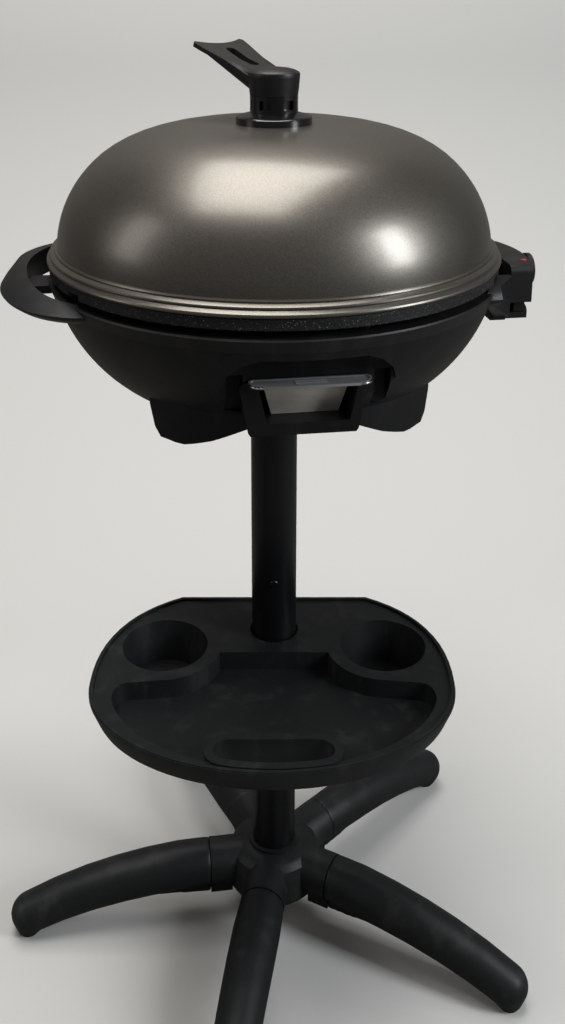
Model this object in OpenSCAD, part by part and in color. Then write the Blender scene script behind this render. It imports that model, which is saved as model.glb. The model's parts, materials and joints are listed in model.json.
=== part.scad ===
// Free-standing electric grill: five-leg stand, side tray, bowl with two handle loops,
// ribbed plate, domed lid with a turning vent lever, drip tray and plug-in controller.
// The origin is on the floor under the pole, +Z is up, the drip tray slides out along -Y
// and the controller plugs in on the +X side.

/* [Stand] */
// Outer diameter of both pole tubes
pole_d = 50; // [44:1:56]
// Wall of the pole tubes
pole_wall = 1.6; // [1.2:0.1:2.4]
// Height of the leg axes where they enter the hub
leg_z = 73.5; // [70:0.5:90]
// Distance from the pole axis to the seam between hub and leg
hub_reach = 78; // [72:1:90]
// Diameter of the hub sockets at the seam
hub_socket_d = 51; // [48:1:54]
// Diameter of the dome of the hub
hub_d = 112; // [104:1:120]
// Height of the top of the hub
hub_top_z = 99.5; // [99.5:0.5:110]
// Thickness of the hub floor under the pole
hub_floor = 6; // [4:1:8]
// Distance from the pole axis to the centre of a leg tip
leg_reach = 294; // [260:1:340]
// Height of the centre of a leg tip
leg_tip_z = 27; // [25:0.5:30]
// Diameter of a leg at the seam
leg_root_d = 51; // [46:1:51]
// Diameter of a leg at its tip
leg_tip_d = 46; // [38:1:46]
// Diameter of the spigot that joins a leg to the hub
spigot_d = 40; // [34:1:42]
// Length of that spigot
spigot_l = 26; // [20:1:28]
// Diameter of a foot pad
pad_d = 22; // [18:1:32]
// Depth of a foot pad above the floor
pad_h = 6; // [4:0.5:9]

/* [Side tray] */
// Height of the deck of the tray above the floor
tray_z = 387.5; // [370:0.5:420]
// Turn of the tray about the pole, as the photographed one stands
tray_turn = -8; // [-20:1:20]
// Half width of the tray
tray_half_w = 192; // [180:0.5:210]
// Distance from the pole axis to the front of the tray
tray_front = 237; // [225:1:260]
// Distance from the pole axis to the straight back edge
tray_back = 60; // [50:1:75]
// Half width of that straight edge
tray_back_half_w = 109.5; // [95:0.5:125]
// How far the front of the tray stands to the left of the pole
tray_lean = 2; // [0:0.5:4]
// How far in front of the pole the tray is widest
tray_mid = 102; // [95:1:110]
// Height of the side of the tray below its deck
tray_side = 23; // [18:0.5:32]
// Thickness of the tray walls and floors
tray_wall = 3; // [2.5:0.1:4]
// Height of the lip above the deck
lip_h = 3; // [2:0.5:5]
// Diameter of a cup holder at the deck
cup_d = 94.6; // [84:0.2:98]
// Diameter of a cup holder at its floor
cup_floor_d = 76; // [66:1:80]
// Depth of a cup holder
cup_depth = 46; // [36:1:60]
// Distance between a cup holder and the pole across the tray
cup_x = 121.3; // [115:0.1:126]
// How far in front of the pole the cup holders are
cup_y = 31.6; // [28:0.1:36]
// Depth of the food recess
recess_depth = 22; // [10:1:22]
// Width of the hand slot
slot_w = 118; // [90:1:130]
// Depth of the hand slot, front to back
slot_l = 32; // [26:1:36]

/* [Bowl] */
// Height of the underside of the bowl
bowl_z = 690.5; // [680:0.5:710]
// Height of the seam between bowl and handle ring
seam_z = 801.5; // [795:0.5:815]
// Radius of the bowl at that seam
seam_r = 224; // [215:1:235]
// Wall of the bowl
bowl_wall = 4; // [3:0.5:5]
// Radius of the table feet
foot_r = 180; // [172:1:186]
// How far the table feet reach below the bowl
foot_drop = 1.5; // [1:0.5:12]
// Depth that the pole enters the bowl's socket
pole_grip = 46; // [36:1:52]
// Height of the handle ring
ring_h = 13; // [11:1:18]
// Distance from the pole axis to the outside of a handle loop
loop_reach = 277; // [268:1:290]
// Height of the crest of the handle loops above the seam
loop_rise = 26; // [24:0.5:32]

/* [Drip tray] */
// Distance between the middle of the drawer and the pole axis
drawer_x = 4.5; // [0:0.5:6]
// Width of the drawer mouth at its top
mouth_w = 92.5; // [88:0.5:96]
// Width of the drawer mouth at its bottom
mouth_floor_w = 75; // [68:1:80]
// Width of the pull flange
pull_w = 111.5; // [104:0.5:124]
// Depth of the pull flange, front to back
pull_l = 20; // [16:1:32]
// Length of the pan
pan_l = 196; // [160:1:210]
// Depth of the pan
pan_h = 39; // [30:1:39]
// Sheet thickness of the pan
pan_wall = 1.5; // [1:0.1:2]

/* [Plate and lid] */
// Radius of the rim of the grill plate
plate_r = 227.8; // [225:0.1:229]
// Height of the rim of the grill plate
plate_rim_h = 11.5; // [9:0.5:14]
// Gap between handle ring and plate rim
plate_gap = 7.5; // [6:0.5:10]
// Number of ribs on the plate
ribs = 15; // [9:2:19]
// Height of the ribs
rib_h = 5; // [3:0.5:7]
// Radius of the lid at its rim
lid_r = 230; // [228:0.5:232]
// Radius of the dome of the lid
dome_r = 219.5; // [214:0.5:221]
// Height of the lid from rim to crown
lid_h = 131; // [110:1:145]
// Sheet thickness of the lid
lid_wall = 2; // [1.5:0.1:3]

/* [Lid knob] */
// Radius of the flange under the knob
flange_r = 38.2; // [34:0.1:42]
// Height of the flange
flange_h = 11; // [9:0.5:14]
// Radius of the vent collar
collar_r = 24; // [22:0.5:26]
// Height of the vent collar
collar_h = 17; // [14:0.5:20]
// Height of the knob above the collar
knob_h = 27; // [22:1:32]
// Distance from the knob axis to the tail of the lever
lever_l = 94; // [70:1:100]
// Width of the tail of the lever
lever_w = 64; // [50:1:68]
// Rise of the lever above level, in degrees
lever_rise = 20; // [15:1:32]
// Direction in which the lever points at rest
lever_turn = 122; // [95:1:150]

/* [Controller] */
// Width of the controller along the handle
case_w = 110; // [96:1:112]
// Height of the controller
case_h = 39; // [34:1:42]
// Distance from the pole axis to the inner face of the controller
case_x = 236.3; // [234:0.1:240]
// Depth of the controller from its inner face to the middle of its outer face
case_t = 34.7; // [30:0.1:38]
// Diameter of the dial
dial_d = 35; // [28:1:36]
// Thickness of the dial
dial_t = 6; // [4:0.5:9]
// Length of the temperature probe
probe_l = 84; // [60:1:95]

/* [Hidden] */
$fn = 96;
cut = 1;
run_fit = 0.05;
slip = 0.3;
legs = 5;
hull_fn = 24;
hub_floor_z = leg_z - hub_socket_d / 2 - 1.5;
pole_foot_z = hub_floor_z + hub_floor;
leg_bore_end = hub_reach - spigot_l;
screw_r = 2.5;
head_r = 4.6;
head_h = 3;
leg_screw_x = leg_bore_end + spigot_l / 2;
pad_x = leg_reach + 3;
toe_r = pad_d / 2 + 2;
toe_z = 2;
web_w = 24;
web_in = 52;
web_l = 72;
web_drop = 11;
web_z = leg_z - hub_socket_d / 2 - web_drop;
web_end = web_l / (leg_reach - hub_reach);
plug_h = 10;
bolt_r = 5;
shoulder_t = 4;
shoulder_drop = 25;
shoulder_z = tray_z - shoulder_drop;
boss_r = pole_d / 2 + 6;
boss_l = 30;
boss_z = shoulder_z - boss_l;
pole_in_r = pole_d / 2 - pole_wall;
coupling_r = pole_in_r - run_fit;
coupling_wall = 1.8;
coupling_in_r = coupling_r - coupling_wall;
coupling_up = 126;
coupling_down = 70;
button_z = tray_z + 73;
button_r = 4.5;
button_out = 2.5;
button_flange = 2;
button_seat = sqrt(pow(coupling_in_r, 2) - pow(button_r + 2, 2)) - slip;
tray_screw_z = boss_z + 13.2;
skirt_in = 8.5;
skirt_z = tray_z - tray_side;
lip_w = 4.5;
recess_inset = 14;
island_w = 8.5;
recess_back = 45.5;
recess_cup_r = cup_d / 2 + 15.7;
recess_arm_y = -recess_cup_r - cup_y - 3.4;
recess_half_w = tray_half_w - 20.5;
recess_near = tray_front - tray_mid - 11;
slot_near = tray_front - tray_mid - 15;
slot_back = tray_mid + slot_near - slot_l;
spring_w = 8;
spring_t = 0.8;
spring_l = 44;
pole_top_z = bowl_z + 18;
socket_bottom_z = pole_top_z - pole_grip;
socket_r = pole_d / 2 + 6;
socket_flange_r = 47;
socket_roof = 3;
bowl_floor_z = bowl_z + bowl_wall;
bowl_floor_r = 124;
bowl_bend_r = 200;
bowl_bend_z = bowl_z + 30;
ring_top_z = seam_z + ring_h;
loop_top_z = seam_z + loop_rise;
loop_bottom_z = seam_z - 1;
right_loop_drop = 1.5;
loop_mid = 185;
loop_half_w = 125;
ledge_z = seam_z - 2;
ledge_t = 4;
ledge_r = seam_r - 28;
ledge_out_r = seam_r - 11;
ring_in_r = seam_r - 15;
post_r = seam_r - 21;
boss_foot_z = seam_z - 38;
recess_y = 190;
mouth_z = seam_z - 77;
mouth_top_z = seam_z - 37;
frame_z = mouth_z - 11.5;
frame_w = mouth_w + 23.5;
frame_floor_w = mouth_floor_w + 21;
face_w = 79;
face_top_z = seam_z - 8;
pocket_x = 66.5;
pocket_w = 15;
pocket_l = 19;
pocket_z = mouth_top_z - 33;
pocket_top_z = mouth_top_z + 7;
pocket_wall = 2.5;
foot_wall = 5;
foot_in_x = 48;
foot_out_x = 134.5;
loop_bar = 27;
bridge_w = 40;
bridge_t = 12;
socket_screw_r = 40;
chute_wall = 3;
chute_end_y = 36;
pan_z = mouth_z + 0.3;
pan_front_y = recess_y - 12;
pull_t = 2.5;
pan_top_z = pan_z + pan_h;
pan_half_w = mouth_w / 2 - 4.75;
pan_floor_half_w = mouth_floor_w / 2 - 6.5;
pan_corner = 9;
pan_slope = 8;
pull_z = mouth_top_z + slip;
pull_step = 2.2;
reflector_r = bowl_line(bowl_wall)[4][0] - slip;
reflector_z = bowl_line(bowl_wall)[4][1];
plate_rim_z = ring_top_z + plate_gap;
plate_top_z = plate_rim_z + plate_rim_h;
arm_x = 199;
arm_y = 107;
arm_w = 18;
cook_z = plate_top_z - 13;
plate_t = 6;
plate_under_z = cook_z - plate_t;
cook_r = plate_r - 21.8;
element_r = 3.8;
element_loop_r = 140;
element_z = plate_under_z - element_r - slip;
lead_y = 16;
lead_end = case_x - 6.3;
drain_y = 95;
drain_r = 8;
housing_z = seam_z - 6;
housing_top_z = ring_top_z + 4;
housing_w = 62;
housing_in = plate_r - 19;
housing_out = case_x - slip;
tab_w = 9;
tab_l = 30;
tab_y = housing_w / 2 - tab_w / 2;
tab_x = housing_in - tab_l + tab_w / 2 + 3;
lead_angle = asin(lead_y / element_loop_r);
rib_w = 4;
rib_pitch = 25;
pin_r = 2.5;
pin_l = 26;
probe_r = 3;
lid_z = plate_top_z + slip;
crown_z = lid_z + lid_h;
dome_foot_z = lid_z + 14;
collar_z = crown_z + flange_h;
collar_wall = 3.4;
shutter_r = collar_r - collar_wall - run_fit;
shutter_wall = 1.5;
knob_z = collar_z + collar_h + slip;
knob_top_z = knob_z + knob_h;
vent_windows = 6;
window_w = 12;
vent_floor_z = crown_z + 3;
vent_hole_r = 14;
pivot_r = 3;
pivot_boss_r = 6.5;
pivot_grip = 18;
washer_t = 1.2;
lever_reach = (lever_l - 4) / cos(lever_rise);
lever_t = 4.5;
lever_z = knob_top_z - 16.8;
lever_slot_w = 11;
lever_slot_l = 38;
case_z = seam_z - 18;
case_top_z = case_z + case_h;
case_arc_r = 135;
case_wall = 3;
case_round = 8;
base_z = case_z - 11.7;
base_inset = 7;
shelf_top_z = base_z - slip;
shelf_t = 6;
spindle_r = 3;
lamp_r = 3;
lamp_x = 20;
lamp_y = 34;
gland_r = 6;
gland_y = 36;
gland_x = case_x + 16;
dial_x = case_x + case_t;
dial_z = case_z + case_h / 2;

function mix(a, b, t) = a + (b - a) * t;
function bend(a, b, c, t) = mix(mix(a, b, t), mix(b, c, t), t);
function leg_x(t) = mix(hub_reach, leg_reach, t);
function leg_h(t) = leg_z - (leg_z - leg_tip_z) * pow(t, 2.4) - 3.2 * sin(180 * t);
function leg_r(t) = mix(leg_root_d, leg_tip_d, t) / 2 + 2 * sin(180 * sqrt(t));
function dome_side(w) = [for (i = [0 : 12])
    bend([dome_r - w, dome_foot_z - w / 2], [dome_r - 3.1 - w, crown_z - 71.5 - w / 2],
         [dome_r - 36.6 - w * 0.7, crown_z - 38.8 - w * 0.7], i / 12)];
function dome_top(w) = [for (i = [1 : 12])
    let (p = bend([dome_r - 36.6 - w * 0.7, crown_z - 38.8 - w * 0.7],
                  [dome_r - 87.8 - w * 0.5, crown_z + 11.2 - w], [0, crown_z + 0.2 - w], i / 12))
    [p[0], min(p[1], crown_z - w)]];
function bowl_line(inset) = [for (i = [0 : 20])
    bend([seam_r - inset, seam_z], [bowl_bend_r - inset, bowl_bend_z + inset / 2],
         [bowl_floor_r, bowl_z + inset], i / 20)];
function oval(a, b, n) = [for (i = [0 : n - 1]) [a * cos(360 * i / n), b * sin(360 * i / n)]];

module around(turn) {
    rotate([0, 0, turn]) children();
}

module leg_place(i) {
    rotate([0, 0, 180 + 360 / legs * i]) children();
}

module rod_x(r, x0, x1) {
    translate([x0, 0, 0]) rotate([0, 90, 0]) cylinder(r = r, h = x1 - x0);
}

module tube(r_out, r_in, z0, z1) {
    translate([0, 0, z0]) difference() {
        cylinder(r = r_out, h = z1 - z0);
        translate([0, 0, -cut]) cylinder(r = r_in, h = z1 - z0 + 2 * cut);
    }
}

module screw(length) {
    cylinder(r = screw_r - 0.1, h = length);
    translate([0, 0, -head_h]) cylinder(r = head_r, h = head_h);
}

module base_hub() {
    color("dimgray") difference() {
        union() {
            rotate_extrude() polygon([
                [0, hub_floor_z], [hub_d / 2 - 3, hub_floor_z], [hub_d / 2, hub_floor_z + 4],
                [hub_d / 2 - 1, leg_z + 4], [hub_d / 2 - 5, hub_top_z - 9], [hub_d / 2 - 12, hub_top_z - 3],
                [hub_d / 2 - 20, hub_top_z], [0, hub_top_z]]);
            for (i = [0 : legs - 1]) leg_place(i) {
                translate([0, 0, leg_z]) rod_x(hub_socket_d / 2, 0, hub_reach);
                translate([web_in, -web_w / 2, web_z]) cube([hub_reach - web_in, web_w, web_drop + 9]);
            }
        }
        translate([0, 0, pole_foot_z]) cylinder(r = pole_d / 2 + run_fit, h = hub_top_z);
        translate([0, 0, hub_floor_z - cut]) cylinder(r = bolt_r + slip, h = hub_floor + 2 * cut);
        for (i = [0 : legs - 1]) leg_place(i) {
            translate([0, 0, leg_z]) rod_x(spigot_d / 2 + run_fit, leg_bore_end, hub_reach + cut);
            translate([leg_screw_x, 0, 0]) cylinder(r = screw_r, h = leg_z);
            translate([leg_screw_x, 0, 0]) cylinder(r = head_r + slip, h = leg_z - hub_socket_d / 2 + 3);
        }
    }
}

module hub_collar() {
    color("black") tube(pole_d / 2 + 5.5, pole_d / 2 + slip, hub_top_z, hub_top_z + 3);
}

module pole_plug() {
    color("silver") translate([0, 0, pole_foot_z]) difference() {
        cylinder(r = pole_in_r, h = plug_h);
        translate([0, 0, -cut]) cylinder(r = bolt_r, h = plug_h + 2 * cut);
    }
}

module pole_washer() {
    color("silver") tube(bolt_r + 8, bolt_r + slip, hub_floor_z - 2, hub_floor_z);
}

module pole_bolt() {
    color("silver") {
        translate([0, 0, hub_floor_z - 2]) cylinder(r = bolt_r - run_fit, h = hub_floor + plug_h);
        translate([0, 0, hub_floor_z - 9]) cylinder(r = bolt_r + 4, h = 7, $fn = 6);
    }
}

module leg(i) {
    color("dimgray") leg_place(i) difference() {
        union() {
            hull() {
                translate([0, 0, leg_z]) rod_x(leg_root_d / 2, hub_reach, hub_reach + 1, $fn = hull_fn);
                leg_ball(1 / 6);
            }
            for (k = [1 : 5]) hull() {
                leg_ball(k / 6);
                leg_ball((k + 1) / 6);
            }
            hull() {
                leg_ball(1);
                translate([pad_x, 0, toe_z]) cylinder(r = toe_r, h = 9, $fn = hull_fn);
            }
            along_y(-web_w / 2, web_w / 2) polygon([
                [hub_reach, web_z + 0.5], [hub_reach + web_l, leg_h(web_end) - leg_r(web_end) + 1],
                [hub_reach + web_l, leg_h(web_end)], [hub_reach, leg_z - spigot_d / 2]]);
            translate([0, 0, leg_z]) rod_x(spigot_d / 2, leg_bore_end + slip, hub_reach + 1);
        }
        translate([leg_screw_x, 0, 0]) cylinder(r = screw_r, h = leg_z);
        translate([pad_x, 0, -cut]) cylinder(r = pad_d / 2 + slip, h = pad_h + cut);
    }
}

module leg_ball(t) {
    translate([leg_x(t), 0, leg_h(t)]) sphere(r = leg_r(t), $fn = hull_fn);
}

module leg_1() { leg(0); }

module leg_2() { leg(1); }

module leg_3() { leg(2); }

module leg_4() { leg(3); }

module leg_5() { leg(4); }

module foot_pad(i) {
    color("black") leg_place(i) translate([pad_x, 0, 0]) cylinder(r = pad_d / 2, h = pad_h);
}

module foot_pad_1() { foot_pad(0); }

module foot_pad_2() { foot_pad(1); }

module foot_pad_3() { foot_pad(2); }

module foot_pad_4() { foot_pad(3); }

module foot_pad_5() { foot_pad(4); }

module leg_screws() {
    color("silver") for (i = [0 : legs - 1]) leg_place(i)
        translate([leg_screw_x, 0, leg_z - hub_socket_d / 2 + 3]) screw(16);
}

module button_hole(r) {
    around(tray_turn - 90) translate([0, 0, button_z]) rod_x(r, 0, pole_d);
}

module lower_pole() {
    color("black") difference() {
        tube(pole_d / 2, pole_in_r, pole_foot_z, shoulder_z);
        tray_screw_holes();
    }
}

module upper_pole() {
    color("black") difference() {
        tube(pole_d / 2, pole_in_r, shoulder_z + shoulder_t, pole_top_z);
        button_hole(button_r + slip);
    }
}

module pole_coupling() {
    color("silver") difference() {
        tube(coupling_r, coupling_in_r, shoulder_z - coupling_down, shoulder_z + coupling_up);
        button_hole(button_r + slip);
        tray_screw_holes();
    }
}

module snap_button() {
    color("silver") around(tray_turn - 90) translate([0, 0, button_z]) {
        rod_x(button_r, button_seat - 1, pole_d / 2 + button_out - 1);
        translate([pole_d / 2 + button_out - 1, 0, 0]) rotate([0, 90, 0])
            cylinder(r1 = button_r, r2 = button_r - 1, h = 1);
        rod_x(button_r + 2, button_seat - button_flange, button_seat);
    }
}

module button_spring() {
    color("silver") around(tray_turn - 90)
        translate([button_seat - button_flange - spring_t, -spring_w / 2, button_z - spring_l]) {
            cube([spring_t, spring_w, spring_l + button_r]);
            cube([button_flange + 1, spring_w, spring_t]);
        }
}

module tray_screw_holes() {
    around(tray_turn) for (a = [60, 120]) around(a) translate([0, 0, tray_screw_z])
        rod_x(screw_r, 0, boss_r + cut);
}

module tray_screws() {
    color("silver") around(tray_turn) for (a = [60, 120]) around(a)
        translate([boss_r - 1, 0, tray_screw_z]) rotate([0, -90, 0]) screw(boss_r - coupling_in_r);
}

function tray_lean_x(y) = tray_lean * min(1, (tray_back - y) / (tray_back + tray_mid));
function tray_line(inset) = [for (p = concat(
    [for (i = [0 : 48]) [(tray_half_w - inset) * cos(180 + i * 3.75),
        -tray_mid + (tray_front - tray_mid - inset) * sin(180 + i * 3.75)]],
    [for (i = [1 : 12]) tray_wing(inset, i / 12)],
    [for (i = [0 : 11]) let (q = tray_wing(inset, 1 - i / 12)) [-q[0], q[1]]]))
        [p[0] - tray_lean_x(p[1]), p[1]]];
function tray_wing(inset, t) = bend([tray_half_w - inset, -tray_mid], [tray_half_w + 6 - inset,
    -tray_mid + 114],
    [tray_back_half_w - inset * 0.4, tray_back - inset], t);
function recess_line(grow) = concat(
    [[-1, grow - recess_back]],
    [for (i = [0 : 12]) let (r = recess_cup_r - grow,
        a = mix(180 + asin((recess_back - grow - cup_y) / r), 270, i / 12)) [cup_x + r * cos(a),
            -cup_y + r * sin(a)]],
    [for (i = [0 : 6]) bend([cup_x + 28, recess_arm_y + grow], [recess_half_w - 1 + grow,
        recess_arm_y + grow],
        [(recess_half_w + grow) * cos(11), -tray_mid - (recess_near + grow) * sin(11)], i / 6)],
    [for (i = [1 : 12]) let (a = mix(11, 90, i / 12))
        [(recess_half_w + grow) * cos(a), -tray_mid - (recess_near + grow) * sin(a)]],
    [[-1, -tray_mid - recess_near - grow]]);
function slot_line(grow) = concat(
    [[-1, -slot_back + grow]],
    [for (i = [0 : 5]) bend([slot_w / 2 - 16, -slot_back + grow], [slot_w / 2 - 2 + grow / 2,
        -slot_back + grow],
        [slot_w / 2 + grow, -slot_back - 16], i / 5)],
    [for (i = [1 : 5]) bend([slot_w / 2 + grow, -slot_back - 16], [slot_w / 2 - 1 + grow,
        slot_front_y(slot_w / 2) - grow],
        [slot_w / 2 - 13, slot_front_y(slot_w / 2 - 13) - grow], i / 5)],
    [for (i = [1 : 6]) let (x = (slot_w / 2 - 13) * (1 - i / 6)) [x, slot_front_y(x) - grow]],
    [[-1, slot_front_y(0) - grow]]);
function slot_front_y(x) = -tray_mid - slot_near * sqrt(1 - pow(x / (tray_half_w - 16.5), 2));

module both_halves() {
    children();
    mirror([1, 0, 0]) children();
}

module tray_block(inset, z0, z1) {
    translate([0, 0, z0]) linear_extrude(z1 - z0) polygon(tray_line(inset));
}

module tray_skin(inset) {
    hull() {
        tray_block(inset, tray_z - 2, tray_z + lip_h - 1);
        tray_block(inset + skirt_in - 2, skirt_z + 4, skirt_z + 5);
        tray_block(inset + skirt_in, skirt_z, skirt_z + 1);
    }
}

module cup(extra) {
    translate([cup_x, -cup_y, tray_z - cup_depth - extra])
        cylinder(r1 = cup_floor_d / 2 + extra, r2 = cup_d / 2 + extra, h = cup_depth + extra);
}

module recess_block(grow, z0, z1) {
    translate([0, 0, z0]) linear_extrude(z1 - z0) both_halves() polygon(recess_line(grow));
}

module slot_block(grow, z0, z1) {
    translate([0, 0, z0]) linear_extrude(z1 - z0) both_halves() polygon(slot_line(grow));
}

module side_tray() {
    color("dimgray") around(tray_turn) difference() {
        union() {
            difference() {
                tray_skin(0);
                intersection() {
                    translate([0, 0, -lip_h - cut]) tray_skin(tray_wall);
                    tray_block(0, skirt_z - lip_h - 2 * cut, tray_z - tray_wall);
                }
            }
            tray_block(1, tray_z, tray_z + lip_h);
            both_halves() cup(tray_wall);
            intersection() {
                union() {
                    tray_skin(tray_wall / 2);
                    tray_block(recess_inset, skirt_z - 5, tray_z);
                }
                union() {
                    recess_block(tray_wall, tray_z - recess_depth - tray_wall, tray_z);
                    difference() {
                        for (a = [20, 55, 90, 125, 160]) around(a)
                            translate([boss_r - 2, -1.2, skirt_z]) cube([tray_half_w, 2.4, tray_side]);
                        both_halves() cup(0);
                    }
                }
            }
            slot_block(tray_wall, skirt_z, tray_z);
            translate([0, 0, boss_z]) cylinder(r = boss_r, h = tray_z - boss_z);
        }
        difference() {
            tray_block(lip_w, tray_z, tray_z + lip_h + cut);
            slot_block(island_w, tray_z - cut, tray_z + lip_h);
        }
        difference() {
            recess_block(0, tray_z - recess_depth, tray_z + cut);
            slot_block(island_w, tray_z - recess_depth - cut, tray_z + lip_h);
        }
        slot_block(0, skirt_z - 5, tray_z + lip_h + cut);
        both_halves() cup(0);
        both_halves() translate([cup_x, -cup_y, tray_z]) cylinder(r = cup_d / 2, h = cut);
        translate([0, 0, boss_z - cut]) cylinder(r = pole_d / 2 + run_fit, h = boss_l + cut);
        translate([0, 0, boss_z]) cylinder(r = pole_in_r, h = shoulder_drop + boss_l);
        translate([0, 0, shoulder_z + shoulder_t]) cylinder(r = pole_d / 2 + run_fit, h = shoulder_drop);
        translate([0, 0, tray_z - 2]) cylinder(r1 = pole_d / 2 + run_fit, r2 = pole_d / 2 + 2.3, h = 2);
        translate([0, 0, tray_z]) cylinder(r = pole_d / 2 + 2.3, h = lip_h + cut);
        for (a = [60, 120]) around(a) translate([0, 0, tray_screw_z]) {
            rod_x(screw_r, 0, boss_r + cut);
            rod_x(head_r + slip, boss_r - 1, boss_r + 4);
        }
    }
}

module along_y(y0, y1) {
    translate([0, y1, 0]) rotate([90, 0, 0]) linear_extrude(y1 - y0) children();
}

module along_x(x0, x1) {
    translate([x0, 0, 0]) rotate([90, 0, 90]) linear_extrude(x1 - x0) children();
}

module bowl_block(inset) {
    rotate_extrude() polygon(concat(bowl_line(inset), [[0, bowl_z + inset], [0, seam_z]]));
}

module face_block(grow) {
    along_y(-seam_r - cut, -recess_y + grow) translate([drawer_x, 0]) polygon([
        [-face_w - grow, bowl_z - cut], [face_w + grow, bowl_z - cut], [face_w + grow, face_top_z - 32],
        [face_w - 5 + grow, face_top_z - 18], [face_w - 16 + grow, face_top_z - 7 + grow],
        [face_w - 32, face_top_z + grow], [-face_w + 32, face_top_z + grow],
        [-face_w + 16 - grow, face_top_z - 7 + grow], [-face_w + 5 - grow, face_top_z - 18],
        [-face_w - grow, face_top_z - 32]]);
}

module mouth(grow, floor_grow) {
    translate([drawer_x, 0]) polygon([
        [-mouth_floor_w / 2 - grow, mouth_z - floor_grow], [mouth_floor_w / 2 + grow, mouth_z - floor_grow],
        [mouth_w / 2 + grow, mouth_top_z], [-mouth_w / 2 - grow, mouth_top_z]]);
}

module foot_walls() {
    intersection() {
        tube(foot_r, foot_r - foot_wall, bowl_z - foot_drop, seam_z - 40);
        both_halves() along_y(-foot_r, foot_r) polygon([
            [foot_in_x, seam_z - 40], [foot_out_x, seam_z - 40], [foot_out_x, bowl_z + 30],
            [foot_out_x - 4, bowl_z + 9], [foot_out_x - 9, bowl_z], [foot_out_x - 16,
                bowl_z - foot_drop + 1],
            [foot_out_x - 22, bowl_z - foot_drop], [foot_out_x - 30, bowl_z - foot_drop],
            [foot_out_x - 41, bowl_z - foot_drop + 3.5], [foot_out_x - 55, bowl_z + 7],
            [foot_out_x - 82, bowl_z + 20], [foot_in_x, bowl_z + 22]]);
    }
    both_halves() mirror_y() for (x = [foot_out_x - 22, foot_out_x - 32])
        translate([x, 2 - sqrt(pow(foot_r, 2) - pow(x + 3, 2)), bowl_z - foot_drop + 1]) cube([3, 30, 40]);
}

module pockets(grow, front) {
    for (x = [-1, 1]) translate([drawer_x + x * pocket_x - pocket_w / 2 - grow, -recess_y - front,
        pocket_z - grow])
        cube([pocket_w + 2 * grow, pocket_l + grow + front, pocket_top_z - pocket_z + 2 * grow]);
}

module mirror_y() {
    children();
    mirror([0, 1, 0]) children();
}

module bowl() {
    color("dimgray") difference() {
        union() {
            difference() {
                union() {
                    bowl_block(0);
                    intersection() {
                        foot_space();
                        foot_walls();
                    }
                }
                face_block(0);
                difference() {
                    bowl_block(bowl_wall);
                    face_block(bowl_wall);
                }
            }
            intersection() {
                pockets(pocket_wall, 0);
                bowl_block(0);
            }
            along_y(-recess_y - 2, -recess_y + 40) polygon([
                [-frame_floor_w / 2, frame_z], [frame_floor_w / 2, frame_z], [frame_floor_w / 2 + 2,
                    frame_z + 3],
                [frame_w / 2, mouth_top_z - 6], [frame_w / 2 - 3, mouth_top_z - 1], [frame_w / 2 - 6,
                    mouth_top_z],
                [-frame_w / 2 + 6, mouth_top_z], [-frame_w / 2 + 3, mouth_top_z - 1], [-frame_w / 2,
                    mouth_top_z - 6],
                [-frame_floor_w / 2 - 2, frame_z + 3]]);
            along_y(-recess_y, chute_end_y) mouth(chute_wall, chute_wall);
            for (a = [45 : 90 : 315]) around(a) intersection() {
                translate([post_r, 0, boss_foot_z]) cylinder(r = 5, h = ledge_z - ledge_t - boss_foot_z);
                bowl_block(bowl_wall / 2);
            }
        }
        along_y(-recess_y - 2 - cut, chute_end_y - chute_wall) mouth(0, 0);
        pockets(0, cut);
        translate([drawer_x - mouth_w / 2, -recess_y + bowl_wall, mouth_top_z - cut])
            cube([mouth_w, chute_end_y + recess_y - chute_wall - bowl_wall, 2 * cut]);
        translate([0, 0, bowl_z - cut]) cylinder(r = socket_r + slip, h = bowl_wall + 2 * cut);
        for (a = [45 : 90 : 315]) around(a) {
            translate([socket_screw_r, 0, bowl_z - cut]) cylinder(r = screw_r, h = bowl_wall + 2 * cut);
            translate([post_r, 0, boss_foot_z + 8]) cylinder(r = screw_r, h = ring_h + boss_foot_z);
        }
        housing_notch();
    }
}

module foot_space() {
    difference() {
        translate([0, 0, bowl_z - foot_drop - cut]) cylinder(r = foot_r + cut, h = seam_z - bowl_z);
        bowl_block(bowl_wall);
    }
}

module pole_socket() {
    color("dimgray") difference() {
        union() {
            translate([0, 0, socket_bottom_z]) cylinder(r = socket_r,
                h = pole_top_z + socket_roof - socket_bottom_z);
            translate([0, 0, bowl_floor_z]) cylinder(r = socket_flange_r, h = bowl_wall);
        }
        translate([0, 0, socket_bottom_z - cut]) cylinder(r = pole_d / 2 + run_fit, h = pole_grip + cut);
        for (a = [45 : 90 : 315]) around(a) translate([socket_screw_r, 0, bowl_floor_z - cut])
            cylinder(r = screw_r, h = bowl_wall + 2 * cut);
    }
}

module socket_screws() {
    color("silver") for (a = [45 : 90 : 315]) around(a)
        translate([socket_screw_r, 0, bowl_floor_z + bowl_wall]) mirror([0, 0, 1]) screw(2 * bowl_wall);
}

module loop_slice(z, inset, near) {
    translate([loop_mid, near / 2, z]) linear_extrude(0.2)
        polygon(oval(loop_reach - loop_mid - inset, loop_half_w - inset - near / 2, 64));
}

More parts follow.
